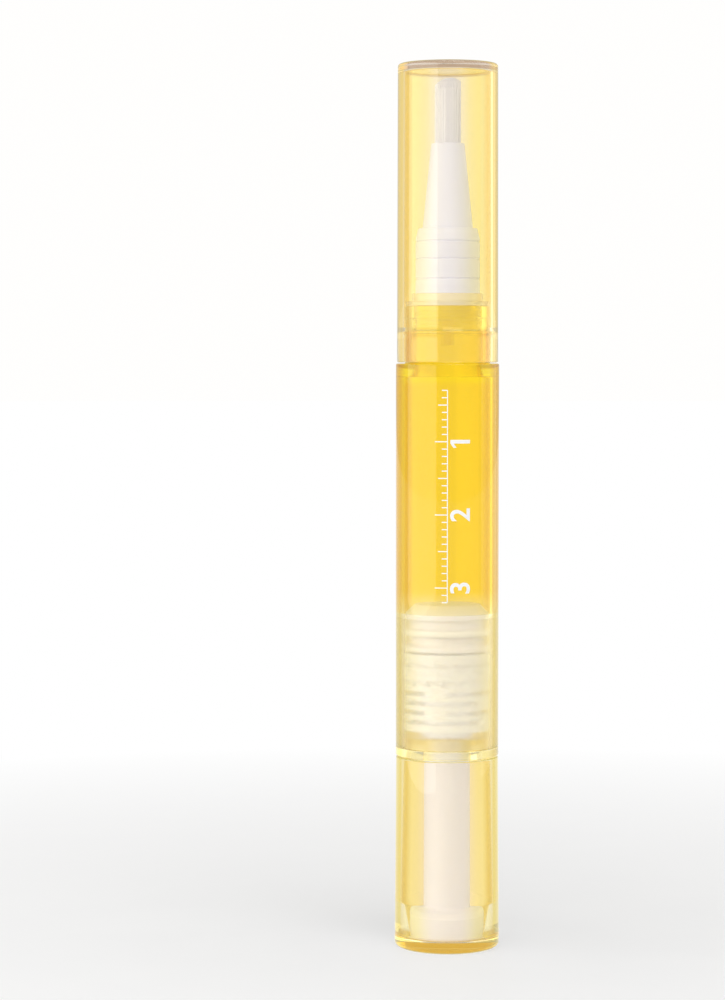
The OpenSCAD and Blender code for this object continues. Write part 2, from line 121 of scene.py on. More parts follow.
def close_mesh() -> None:
    """Goes back to object mode."""
    bpy.ops.object.mode_set(mode="OBJECT")


def softened(outline: list[Corner], steps: int = 6) -> list[Point]:
    """Rounds the corners of an outline that ask for it.

    Args:
        outline: corners in order; the outline is closed or ends on the axis.
        steps: short edges in each rounded corner.

    Returns:
        The points of the outline, in millimetres.
    """
    points: list[Point] = []
    places = [Vector(corner[:2]) for corner in outline]
    for i, (corner, here) in enumerate(zip(outline, places)):
        before = places[i - 1] - here
        after = places[(i + 1) % len(places)] - here
        if len(corner) == 2:
            points.append(corner)
            continue
        half = before.angle(after) / 2
        reach = min(corner[2] / math.tan(half), EDGE_SHARE * before.length, EDGE_SHARE * after.length)
        radius = reach * math.tan(half)
        centre = here + (before.normalized() + after.normalized()).normalized() * radius / math.sin(half)
        first = here + before.normalized() * reach - centre
        last = here + after.normalized() * reach - centre
        start = math.atan2(first.y, first.x)
        turn = math.remainder(math.atan2(last.y, last.x) - start, math.tau)
        for step in range(steps + 1):
            angle = start + turn * step / steps
            points.append((centre.x + radius * math.cos(angle), centre.y + radius * math.sin(angle)))
    return points


def wire(name: str, points: list[Point], closed: bool) -> Piece:
    """Draws an outline in the plane y = 0 by extruding one vertex along its points.

    Args:
        name: name of the new object.
        points: radius and height of each point, in millimetres.
        closed: whether the last point is joined to the first.

    Returns:
        The object, left in edit mode with everything selected.
    """
    deselect()
    r, z = points[0]
    bpy.ops.mesh.primitive_plane_add(size=MM, location=(0, 0, 0))
    piece = bpy.context.object
    piece.name = piece.data.name = name
    open_mesh()
    bpy.ops.mesh.merge(type="CENTER")
    bpy.ops.transform.translate(value=(r * MM, 0, z * MM))
    path = [*points, points[0]] if closed else points
    for (r0, z0), (r1, z1) in zip(path, path[1:]):
        step = ((r1 - r0) * MM, 0, (z1 - z0) * MM)
        bpy.ops.mesh.extrude_region_move(TRANSFORM_OT_translate={"value": step})
    bpy.ops.mesh.select_all(action="SELECT")
    bpy.ops.mesh.remove_doubles(threshold=1e-7)
    return piece


def tidy_mesh() -> None:
    """Merges doubles of the active object and turns its faces outwards."""
    open_mesh()
    bpy.ops.mesh.remove_doubles(threshold=2e-7)
    bpy.ops.mesh.normals_make_consistent(inside=False)
    close_mesh()


def turned(name: str, outline: list[Corner], steps: int = 144) -> Piece:
    """Spins a half outline about the pen's axis into one closed solid.

    Args:
        name: name of the piece.
        outline: its corners in order; ends that lie on the axis stay open there.
        steps: faces round the axis.

    Returns:
        The new piece, smooth except at sharp edges.
    """
    points = softened(outline)
    on_axis = outline[0][0] == outline[-1][0] == 0
    piece = wire(name, points, closed=not on_axis)
    bpy.ops.mesh.spin(steps=steps, angle=math.tau, center=(0, 0, 0), axis=(0, 0, 1))
    tidy_mesh()
    smooth(piece)
    return piece


def smooth(piece: Piece, degrees: float = 28) -> None:
    """Shades a piece smooth where its faces meet at less than the angle."""
    activate(piece)
    bpy.ops.object.shade_smooth_by_angle(angle=math.radians(degrees))


def cut(piece: Piece, place: Vector, outward: Vector) -> None:
    """Cuts a piece at a plane, drops what lies beyond it and closes the cut.

    Args:
        piece: the piece to cut.
        place: a point of the plane, in metres.
        outward: the plane's normal, on the side that is dropped.
    """
    activate(piece)
    open_mesh()
    bpy.ops.mesh.bisect(plane_co=place, plane_no=outward, use_fill=True, clear_outer=True, threshold=1e-8)
    close_mesh()


def sliced(across: Place, places: list[float]) -> None:
    """Adds edges to the open mesh where planes cut it.

    Args:
        across: direction across the planes, one unit long.
        places: distance of each plane from the origin.
    """
    for place in places:
        bpy.ops.mesh.select_all(action="SELECT")
        bpy.ops.mesh.bisect(plane_co=[place * part for part in across], plane_no=across, threshold=1e-6)


def joined(name: str, pieces: list[Piece]) -> Piece:
    """Joins several objects into one.

    Args:
        name: name of the joined piece.
        pieces: the objects; the first one stays.

    Returns:
        The joined piece.
    """
    deselect()
    for piece in pieces:
        piece.select_set(True)
    bpy.context.view_layer.objects.active = pieces[0]
    bpy.ops.object.join()
    pieces[0].name = pieces[0].data.name = name
    return pieces[0]


def placed(piece: Piece, body: Body, slot: str, looks: Looks, *nodes: str, look: str = "") -> None:
    """Dresses a finished piece and hangs it on its body.

    Args:
        piece: the finished piece.
        body: the body that carries it.
        slot: its material slot in the record.
        looks: the materials by name.
        nodes: the CAD nodes that it stands for.
        look: name of its material, if it isn't the slot's own.
    """
    piece.data.materials.clear()
    piece.data.materials.append(looks[look or slot])
    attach(piece, body.value)
    if nodes:
        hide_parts(*nodes)
    LOG.info("%s: %d faces on %s", piece.name, len(piece.data.polygons), body.value)


def dressed_node(name: str, finish: Material) -> None:
    """Gives a CAD node, kept as it is, its material.

    Args:
        name: name of the node.
        finish: its material.
    """
    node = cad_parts[name]
    node.data.materials.clear()
    node.data.materials.append(finish)
    LOG.info("%s: CAD node kept, %s", name, finish.name)


# ---- node trees ----


class Weave:
    """Adds nodes to a tree and joins their sockets."""

    def __init__(self, tree: Tree) -> None:
        """Keeps the tree that the nodes go into."""
        self.tree = tree

    def add(self, key: Key, inputs: dict | None = None, **settings: object) -> Node:
        """Adds one node.

        Args:
            key: which node.
            inputs: values or sockets by the name or number of the input.
            settings: the node's own settings.

        Returns:
            The new node.
        """
        node = self.tree.nodes.new(key.value)
        for name, value in settings.items():
            setattr(node, name, value)
        self.fill(node, inputs or {})
        return node

    def fill(self, node: Node, inputs: dict) -> None:
        """Sets the inputs of a node to values, or joins sockets to them.

        Args:
            node: the node.
            inputs: values or sockets by the name or number of the input.
        """
        for name, value in inputs.items():
            if isinstance(value, Socket):
                self.tree.links.new(value, node.inputs[name])
            else:
                node.inputs[name].default_value = value

    def mix(self, factor: object, low: object, high: object) -> Socket:
        """Mixes two colours by a factor and returns the result's socket."""
        return self.add(Key.MIX, {0: factor, 6: low, 7: high}, data_type="RGBA").outputs[2]

    def spread(self, value: Socket, low: float, high: float, to_low: float = 0, to_high: float = 1) -> Socket:
        """Maps a value from one range to another, held at its ends, and returns the result's socket."""
        node = self.add(Key.RANGE, {0: value, 1: low, 2: high, 3: to_low, 4: to_high}, clamp=True)
        return node.outputs[0]

    def math(self, operation: str, *values: object) -> Socket:
        """Joins numbers by an operation and returns the result's socket."""
        return self.add(Key.MATH, dict(enumerate(values)), operation=operation).outputs[0]

    def place(self) -> Socket:
        """Returns the socket of the place on the piece, in Object coordinates."""
        return self.add(Key.COORD).outputs["Object"]

    def noise(self, scale: object, detail: float, stretch: Place | None = None, turn: Place = (0, 0, 0)) -> Socket:
        """Lays a noise over the piece.

        Args:
            scale: its scale, or the socket that gives it.
            detail: its number of finer layers.
            stretch: how the place is scaled first.
            turn: how the place is turned first.

        Returns:
            The noise's socket.
        """
        place = self.place()
        if stretch:
            place = self.add(Key.MAPPING, {"Vector": place, "Rotation": turn, "Scale": stretch}).outputs[0]
        return self.add(Key.NOISE, {"Vector": place, "Scale": scale, "Detail": detail}).outputs[0]

    def height(self) -> Socket:
        """Returns the socket of the height along the pen."""
        return self.add(Key.SPLIT, {0: self.place()}).outputs[2]

    def radius(self) -> Socket:
        """Returns the socket of the distance from the pen's axis."""
        flat = self.add(Key.VECTOR, {0: self.place(), 1: (1, 1, 0)}, operation="MULTIPLY")
        return self.length(flat.outputs[0])

    def length(self, vector: object) -> Socket:
        """Returns the socket of a vector's length."""
        return self.add(Key.VECTOR, {0: vector}, operation="LENGTH").outputs["Value"]


def new_group(name: str, inputs: dict[str, float], outputs: dict[str, str]) -> tuple[Weave, Node, Node]:
    """Starts a shader node group.

    Args:
        name: name of the group.
        inputs: its number inputs with their values.
        outputs: its outputs with their socket types.

    Returns:
        The group's weave, and its input and output nodes.
    """
    tree = bpy.data.node_groups.new(name, "ShaderNodeTree")
    for label, value in inputs.items():
        tree.interface.new_socket(label, in_out="INPUT", socket_type="NodeSocketFloat").default_value = value
    for label, kind in outputs.items():
        tree.interface.new_socket(label, in_out="OUTPUT", socket_type=kind)
    return Weave(tree), tree.nodes.new("NodeGroupInput"), tree.nodes.new("NodeGroupOutput")


class Effects:
    """The shared effects, each a node group that is built once."""

    def __init__(self) -> None:
        """Builds the three groups."""
        self.flow = self.build_flow()
        self.marks = self.build_marks()
        self.specks = self.build_specks()

    @staticmethod
    def build_flow() -> Tree:
        """Soft clouds that stand for uneven flow in the moulded plastic.

        Returns:
            The group's tree.
        """
        weave, given, out = new_group("flow_clouds", {"Scale": 250.0}, {"Mask": "NodeSocketFloat"})
        noise = weave.noise(given.outputs["Scale"], 3.0, (1, 1, 0.35))
        weave.fill(out, {"Mask": weave.spread(noise, 0.3, 0.7)})
        return weave.tree

    @staticmethod
    def build_marks() -> Tree:
        """Hair-fine handling marks along the pen, as a mask and a normal.

        Returns:
            The group's tree.
        """
        weave, given, out = new_group(
            "handling_marks",
            {"Scale": 2600.0, "Depth": 0.1},
            {"Mask": "NodeSocketFloat", "Normal": "NodeSocketVector"},
        )
        noise = weave.noise(given.outputs["Scale"], 2.0, (1, 1, 0.03), (0.09, 0.05, 0))
        mask = weave.spread(noise, 0.6, 0.72)
        bump = weave.add(
            Key.BUMP, {"Height": mask, "Strength": given.outputs["Depth"], "Distance": 2e-6}, invert=True
        )
        weave.fill(out, {"Mask": mask, "Normal": bump.outputs[0]})
        return weave.tree

    @staticmethod
    def build_specks() -> Tree:
        """Sparse small specks, such as dust or tiny bubbles, as a mask.

        Returns:
            The group's tree.
        """
        weave, given, out = new_group("specks", {"Scale": 900.0, "Size": 0.1}, {"Mask": "NodeSocketFloat"})
        cells = weave.add(Key.VORONOI, {"Vector": weave.place(), "Scale": given.outputs["Scale"]})
        chosen = weave.add(Key.SPLIT, {0: cells.outputs["Color"]})
        rare = weave.spread(chosen.outputs[0], 0.8, 0.82)
        near = weave.math("LESS_THAN", cells.outputs["Distance"], given.outputs["Size"])
        weave.fill(out, {"Mask": weave.math("MULTIPLY", near, rare)})
        return weave.tree


# ---- finishes ----


@dataclass(frozen=True)
class Stain:
    """A band of painted light and shade: a colour laid between two heights in millimetres and outside a radius."""

    colour: Colour
    none_at: float
    full_at: float
    beyond: float = -1.0
    soft: float = 0.4

    def on(self, weave: Weave, colour: Socket) -> Socket:
        """Lays the painted band over a colour.

        Args:
            weave: the material's weave.
            colour: the socket of the colour under it.

        Returns:
            The socket of the result.
        """
        share = weave.spread(weave.height(), self.none_at * MM, self.full_at * MM)
        outside = weave.spread(weave.radius(), (self.beyond - self.soft) * MM, self.beyond * MM)
        return weave.mix(weave.math("MULTIPLY", share, outside), colour, (*self.colour, 1))


@dataclass(frozen=True)
class ClearPlastic:
    """Clear moulded plastic: pale where it faces the viewer, painted yellow at its sides for the surroundings seen
    through them, and painted amber shade at its outline.

    The numbers from and to, for side and outline, are measures of how far a face turns away.
    """

    name: str
    middle: Colour
    outline: Colour
    outline_from: float = 0.4
    outline_to: float = 0.58
    side: Colour | None = None
    side_from: float = 0.03
    side_to: float = 0.14
    stains: tuple[Stain, ...] = ()
    clearness: float = 1.0
    polish: float = 0.02
    worn: float = 0.06
    dust: float = 0.1
    gloss: float = 0.5
    frost: float = 0.0
    frost_below: float = 0.0
    frost_within: float = 0.0
    frost_fade: float = 1.0
    frost_edge: float = 0.1
    ior: float = 1.49

    def material(self, effects: Effects) -> Material:
        """Builds the material.

        Args:
            effects: the shared effects.

        Returns:
            The material.
        """
        made, weave, shader = blank_material(self.name)
        flow = weave.add(Key.GROUP, node_tree=effects.flow)
        marks = weave.add(Key.GROUP, node_tree=effects.marks)
        specks = weave.add(Key.GROUP, node_tree=effects.specks)
        facing = weave.add(Key.FACING, {"Blend": 0.5}).outputs["Facing"]
        colour = weave.mix(flow.outputs[0], (*self.middle, 1), (*shaded(self.middle, 0.985), 1))
        # painted: yellow at the sides, for the surroundings seen through the wall
        if self.side:
            away = weave.spread(facing, self.side_from, self.side_to)
            colour = weave.mix(away, colour, (*self.side, 1))
        # painted bands of light and shade, laid on by height
        for painted_band in self.stains:
            colour = painted_band.on(weave, colour)
        # painted shade: the outline turns darker amber
        rim = weave.spread(facing, self.outline_from, self.outline_to)
        rough = weave.spread(marks.outputs["Mask"], 0, 1, self.polish, self.polish + self.worn)
        rough = weave.math("MULTIPLY_ADD", specks.outputs[0], self.dust, rough)
        if self.frost:
            rough = weave.math("MULTIPLY_ADD", *self.frosting(weave), rough)
        weave.fill(shader, {
            "Base Color": weave.mix(rim, colour, (*self.outline, 1)),
            "Roughness": rough,
            "Normal": marks.outputs["Normal"],
            "Transmission Weight": self.clearness,
            "IOR": self.ior,
            "Specular IOR Level": self.gloss,
        })
        let_light_by(weave, shader, LAMP_SHADE)
        return made

    def frosting(self, weave: Weave) -> tuple[Socket, Socket]:
        """Frosts the lower part of a bore.

        Args:
            weave: the material's weave.

        Returns:
            The sockets of the roughness that the bore gains, and of the mask of its heights.
        """
        inner, outer = self.frost_within - self.frost_edge, self.frost_within + self.frost_edge
        inside = weave.spread(weave.radius(), inner * MM, outer * MM, self.frost, 0)
        full = self.frost_below - self.frost_fade
        return inside, weave.spread(weave.height(), full * MM, self.frost_below * MM, 1, 0)


@dataclass(frozen=True)
class MouldedPlastic:
    """White or frosted moulded plastic that lets some light in."""

    name: str
    colour: Colour
    shade: Colour
    rough: float = 0.35
    see_through: float = 0.0
    glow: float = 0.0
    veil: float = 0.12
    grain: float = 0.15

    def material(self, effects: Effects) -> Material:
        """Builds the material.

        Args:
            effects: the shared effects.

        Returns:
            The material.
        """
        made, weave, shader = blank_material(self.name)
        flow = weave.add(Key.GROUP, node_tree=effects.flow)
        marks = weave.add(Key.GROUP, node_tree=effects.marks)
        fine = weave.noise(5200.0, 2.0)
        bump = weave.add(
            Key.BUMP, {"Height": fine, "Strength": self.grain, "Distance": 8e-6, "Normal": marks.outputs["Normal"]}
        )
        weave.fill(shader, {
            "Base Color": weave.mix(flow.outputs[0], (*self.colour, 1), (*self.shade, 1)),
            "Roughness": weave.spread(fine, 0.3, 0.7, self.rough - 0.05, self.rough + 0.08),
            "Normal": bump.outputs[0],
            "Transmission Weight": self.see_through,
            "Subsurface Weight": self.glow,
            "Subsurface Radius": (1.0, 0.9, 0.75),
            "Subsurface Scale": 0.6 * MM,
        })
        if self.see_through:
            let_light_by(weave, shader, self.veil, self.veil)
        return made


@dataclass(frozen=True)
class Liquid:
    """The oil: a saturated yellow that fills its container to the outline, painted darker towards its outline as
    shade.
    """

    name: str
    colour: Colour
    deep: Colour
    clearness: float
    # a painted band of light: paler oil where the white piston shows through it
    foot: Stain | None = None
    ior: float = 1.03

    def material(self, effects: Effects) -> Material:
        """Builds the material.

        Args:
            effects: the shared effects.

        Returns:
            The material.
        """
        made, weave, shader = blank_material(self.name)
        flow = weave.add(Key.GROUP, {"Scale": 90.0}, node_tree=effects.flow)
        specks = weave.add(Key.GROUP, {"Scale": 420.0, "Size": 0.05}, node_tree=effects.specks)
        facing = weave.add(Key.FACING, {"Blend": 0.5})
        # painted shade: the oil turns deeper and darker towards its outline
        rim = weave.spread(facing.outputs["Facing"], 0.35, 1)
        clouds = weave.mix(flow.outputs[0], (*self.colour, 1), (*shaded(self.colour, 0.97), 1))
        colour = weave.mix(rim, clouds, (*self.deep, 1))
        # painted light: the oil is paler low down, where the white piston shows through
        if self.foot:
            colour = self.foot.on(weave, colour)
        weave.fill(shader, {
            "Base Color": colour,
            "Roughness": weave.spread(specks.outputs[0], 0, 1, 0.06, 0.2),
            "Transmission Weight": self.clearness,
            "IOR": self.ior,
        })
        let_light_by(weave, shader, LAMP_SHADE)
        return made


@dataclass(frozen=True)
class Filament:
    """Nylon strands with a fine streak along each."""

    name: str
    colour: Colour
    shade: Colour

    def material(self, effects: Effects) -> Material:
        """Builds the material.

        Args:
            effects: the shared effects.

        Returns:
            The material.
        """
        made, weave, shader = blank_material(self.name)
        mask = weave.spread(weave.noise(6500.0, 2.0, (1, 1, 0.02)), 0.35, 0.65)
        flow = weave.add(Key.GROUP, node_tree=effects.flow)
        both = weave.math("MULTIPLY", mask, flow.outputs[0])
        weave.fill(shader, {
            "Base Color": weave.mix(mask, (*self.colour, 1), (*self.shade, 1)),
            "Roughness": weave.spread(both, 0, 1, 0.3, 0.5),
            "Subsurface Weight": 0.3,
            "Subsurface Radius": (1.0, 0.95, 0.9),
            "Subsurface Scale": 0.1 * MM,
        })
        return made


def blank_material(name: str) -> tuple[Material, Weave, Node]:
    """Starts a node material.

    Args:
        name: name of the material.

    Returns:
        The material, its weave and its Principled shader.
    """
    made = bpy.data.materials.new(name)
    made.use_nodes = True
    shader = next(n for n in made.node_tree.nodes if n.type == "BSDF_PRINCIPLED")
    return made, Weave(made.node_tree), shader


def shaded(colour: Colour, share: float) -> Colour:
    """Returns a colour, darkened to a share of itself."""
    return tuple(share * part for part in colour)


def let_light_by(weave: Weave, shader: Node, shade: float, veil: float = 0.0) -> None:
    """Lets light that falls on what lies inside a clear piece go straight through its walls.

    Light from a lamp, or from a white piece inside, would need a bent path through each wall.
    Light that was reflected three times, or has passed eight faces, goes straight on as well.

    Args:
        weave: the material's weave.
        shader: its Principled shader.
        shade: how much of a lamp's light each face holds back.
        veil: how much of the light from other pieces each face holds back.
    """
    path = weave.add(Key.PATH)
    least = weave.spread(path.outputs["Is Shadow Ray"], 0, 1, 1, shade)
    for depth, count, rest in (("Glossy", 3, 0), ("Transmission", 8, 0), ("Diffuse", 1, veil)):
        share = weave.spread(path.outputs[f"{depth} Depth"], count - 0.8, count - 0.2, 1, rest)
        least = weave.math("MINIMUM", least, share)
    weave.fill(shader, {"Alpha": least})


# ---- the pieces ----


@dataclass
class Knob:
    """The clear turning knob and the white drive tube inside it."""

    height: float = 26.05
    dish: float = 0.3
    dish_r: float = 4.4
    dish_rim_r: float = 4.75
    base_r: float = 7.15
    top_r: float = 6.95
    wall: float = 0.9
    floor: float = 1.5
    socket_r: float = 5.3
    socket_top: float = 1.9
    slope_top: float = 6.3
    post_r: float = 3.15
    foot_r: float = 5.27
    foot_top: float = 5.0
    foot_edge: float = 0.6
    post_top: float = 37.3
    bead: float = 0.3
    bead_low: float = 29.1
    bead_high: float = 29.45
    bead_top: float = 29.8
    bore_r: float = 2.05

    def shell(self) -> Piece:
        """Clear knob with a dished base, a thick socket and a slope above it.

        Returns:
            The shell.
        """
        return turned("knob_shell", [
            (0, self.dish), (self.dish_r, self.dish, 0.25), (self.dish_rim_r, 0, 0.12),
            (self.base_r, 0, 0.7), (self.top_r, self.height, 0.12),
            (self.top_r - self.wall, self.height, 0.08),
            (self.base_r - self.wall, self.slope_top, 1.2), (self.socket_r, self.socket_top, 0.3),
            (self.socket_r, self.floor, 0.1), (0, self.floor),
        ])

    def tube(self) -> Piece:
        """White tube with a wide foot, a snap bead and a rounded top.

        Returns:
            The tube.
        """
        return turned("drive_tube_body", [
            (self.bore_r, self.floor), (self.foot_r, self.floor, 0.12),
            (self.foot_r, self.foot_top - self.foot_edge, 0.15),
            (self.foot_r - self.foot_edge, self.foot_top, 0.25),
            (self.post_r, self.foot_top, 0.5), (self.post_r, self.bead_low),
            (self.post_r + self.bead, self.bead_low, 0.06),
            (self.post_r + self.bead, self.bead_high, 0.06), (self.post_r, self.bead_top),
            (self.post_r, self.post_top, 0.15), (self.bore_r, self.post_top, 0.1),
        ])

    def build(self, looks: Looks) -> None:
        """Builds both pieces and hangs them on the knob."""
        placed(self.shell(), Body.KNOB, "clear_knob", looks, "knob")
        placed(self.tube(), Body.KNOB, "white_tube", looks, "drive_tube")


@dataclass
class Barrel:
    """The clear barrel with its neck, the ring under it and the printed gauge."""

    radius: float = 7.0
    bore_r: float = 5.7
    nut_bore_r: float = 5.8
    neck_r: float = 5.74
    rim_r: float = 5.88
    neck_bore_r: float = 4.73
    low: float = 27.5
    shoulder: float = 79.6
    neck_top: float = 87.4
    nut_top: float = 40.4
    cone_low: float = 77.76
    cone_top: float = 79.5
    bead_z: float = 83.8
    bead_h: float = 0.5
    rim_low: float = 85.8
    rim_edge: float = 0.15
    ring_low: float = 26.2
    ring_bore_r: float = 3.25
    spigot_r: float = 5.77
    spigot_top: float = 29.0
    gauge_zero: float = 49.6
    gauge_top: float = 76.06
    tenth_h: float = 0.98
    tick: float = 0.75
    fifth_tick: float = 1.25
    whole_tick: float = 1.7
    line: float = 0.06
    tick_line: float = 0.07
    ink_low: float = 0.004
    ink: float = 0.014
    number_r: float = 3.05
    number_z: float = 79.0
    number_size: float = 3.8
    number_bold: float = 0.06
    number_step: float = 0.12
    flag_of_one: tuple[float, ...] = (0.4, 0.82, 68.4, 68.96, 0.4)

    def shell(self) -> Piece:
        """Clear barrel: body, shoulder, neck with its snap bead and thicker rim.

        Returns:
            The barrel.
        """
        return turned("barrel_shell", [
            (self.nut_bore_r, self.low), (self.radius, self.low, 0.15),
            (self.radius, self.shoulder, 0.2), (self.neck_r, self.shoulder, 0.15),
            (self.neck_r, self.bead_z - self.bead_h, 0.4), (self.rim_r, self.bead_z, 0.5),
            (self.neck_r, self.bead_z + self.bead_h, 0.4), (self.neck_r, self.rim_low - self.rim_edge, 0.1),
            (self.rim_r, self.rim_low, 0.08), (self.rim_r, self.neck_top, 0.15),
            (self.neck_bore_r, self.neck_top, 0.06), (self.neck_bore_r, self.cone_top, 0.6),
            (self.bore_r, self.cone_low, 0.4), (self.bore_r, self.nut_top),
            (self.nut_bore_r, self.nut_top),
        ])

    def ring(self) -> Piece:
        """Clear ring between barrel and knob, with its spigot.

        Returns:
            The ring.
        """
        return turned("collar_band", [
            (self.ring_bore_r, self.ring_low), (self.radius, self.ring_low, 0.25),
            (self.radius, self.low, 0.15), (self.spigot_r, self.low, 0.05),
            (self.spigot_r, self.spigot_top, 0.2), (self.ring_bore_r, self.spigot_top, 0.1),
        ])

    def gauge(self) -> Piece:
        """White printed gauge: a line with fine ticks, and a number at each whole millilitre.

        Returns:
            The gauge.
        """
        marks = [self.bar(-self.line, self.line, self.gauge_zero - 2 * self.tenth_h, self.gauge_top)]
        for tenth in range(-2, 28):
            height = self.gauge_zero + self.tenth_h * tenth
            length = self.tick
            if tenth % 5 == 0:
                length = self.fifth_tick
            if tenth % 10 == 0:
                length = self.whole_tick
            marks.append(self.bar(-length, 0, height - self.tick_line, height + self.tick_line))
        for whole in (1, 2, 3):
            marks.append(self.numeral(str(whole), self.number_r, self.number_z - 10 * self.tenth_h * whole))
        return joined("gauge_print", [*marks, self.bar(*self.flag_of_one)])

    def bar(self, left: float, right: float, low: float, high: float, slant: float = 0.0) -> Piece:
        """One bar of the gauge, wrapped on the barrel.

        Args:
            left: its left end round the barrel, in millimetres from the gauge's line.
            right: its right end.
            low: its lower edge on the pen, in millimetres.
            high: its upper edge.
            slant: how far its lower edge is moved to the right.

        Returns:
            The bar.
        """
        deselect()
        bpy.ops.mesh.primitive_grid_add(x_subdivisions=6, y_subdivisions=1, size=1)
        bar = bpy.context.object
        open_mesh()
        bpy.ops.transform.resize(value=(right - left, high - low, 1))
        bpy.ops.transform.translate(value=((left + right) / 2, (low + high) / 2, self.ink_low))
        bpy.ops.mesh.extrude_region_move(TRANSFORM_OT_translate={"value": (0, 0, self.ink)})
        close_mesh()
        for vertex in bar.data.vertices:
            vertex.co.x += slant * (high - vertex.co.y) / (high - low)
        return self.wrapped(bar)

    def numeral(self, text: str, right: float, height: float) -> Piece:
        """One number of the gauge, read with the pen on its side.

        Args:
            text: the number.
            right: its foot round the barrel, in millimetres.
            height: its middle on the pen, in millimetres.

        Returns:
            The number, wrapped on the barrel.
        """
        deselect()
        bpy.ops.object.text_add()
        number = bpy.context.object
        number.data.body = text
        number.data.size = self.number_size
        number.data.extrude = self.ink / 2
        number.data.offset = self.number_bold
        number.data.align_x = "CENTER"
        bpy.ops.object.convert(target="MESH")
        number = bpy.context.object
        open_mesh()
        bpy.ops.mesh.remove_doubles(threshold=1e-5)
        sliced((0, 1, 0), [self.number_step * line for line in range(-2, 24)])
        close_mesh()
        for vertex in number.data.vertices:
            x, y, z = vertex.co
            vertex.co = (right - y, height + x, z + self.ink_low + self.ink / 2)
        return self.wrapped(number)

    def wrapped(self, flat: Piece) -> Piece:
        """Bends a flat print round the barrel: x becomes an angle and y a height.

        Args:
            flat: flat mesh in millimetres.

        Returns:
            The same piece in metres, with its faces outwards.
        """
        for vertex in flat.data.vertices:
            angle = vertex.co.x / self.radius
            out = (self.radius + vertex.co.z) * MM
            vertex.co = (math.sin(angle) * out, -math.cos(angle) * out, vertex.co.y * MM)
        activate(flat)
        open_mesh()
        bpy.ops.mesh.normals_make_consistent(inside=False)
        close_mesh()
        return flat

    def build(self, looks: Looks) -> None:
        """Builds the three pieces and hangs them on the barrel.

        Args:
            looks: the materials by name.
        """
        placed(self.shell(), Body.BARREL, "clear_barrel", looks, "barrel")
        placed(self.ring(), Body.BARREL, "clear_ring", looks, "collar_ring")
        placed(self.gauge(), Body.BARREL, "holder_white", looks, look="print_white")


@dataclass
class Cap:
    """The clear over-cap."""

    low: float = 79.75
    top: float = 120.0
    rim_r: float = 6.85
    end_r: float = 6.77
    bore_r: float = 5.95
    end_bore_r: float = 5.87
    end_h: float = 1.0
    gate: float = 0.1
    gate_r: float = 0.6
    gate_edge: float = 0.15
    groove_r: float = 6.1
    groove_z: float = 83.8
    groove_h: float = 0.7
    bore_top: float = 87.4

    def shell(self) -> Piece:
        """Clear shell with a closed end, a small gate mark and a snap groove.

        Returns:
            The shell.
        """
        room = self.top - self.end_h
        return turned("cap_shell", [
            (0, self.top - self.gate), (self.gate_r, self.top - self.gate, 0.08),
            (self.gate_r + self.gate_edge, self.top, 0.08), (self.end_r, self.top, 0.4),
            (self.rim_r, self.low, 0.12), (self.bore_r, self.low, 0.2),
            (self.bore_r, self.groove_z - self.groove_h, 0.5), (self.groove_r, self.groove_z, 0.8),
            (self.bore_r, self.groove_z + self.groove_h, 0.5), (self.bore_r, self.bore_top),
            (self.end_bore_r, room, 0.3), (0, room),
        ])

    def build(self, looks: Looks) -> None:
        """Builds the cap and hangs it on its body."""
        placed(self.shell(), Body.CAP, "clear_cap", looks, "cap")


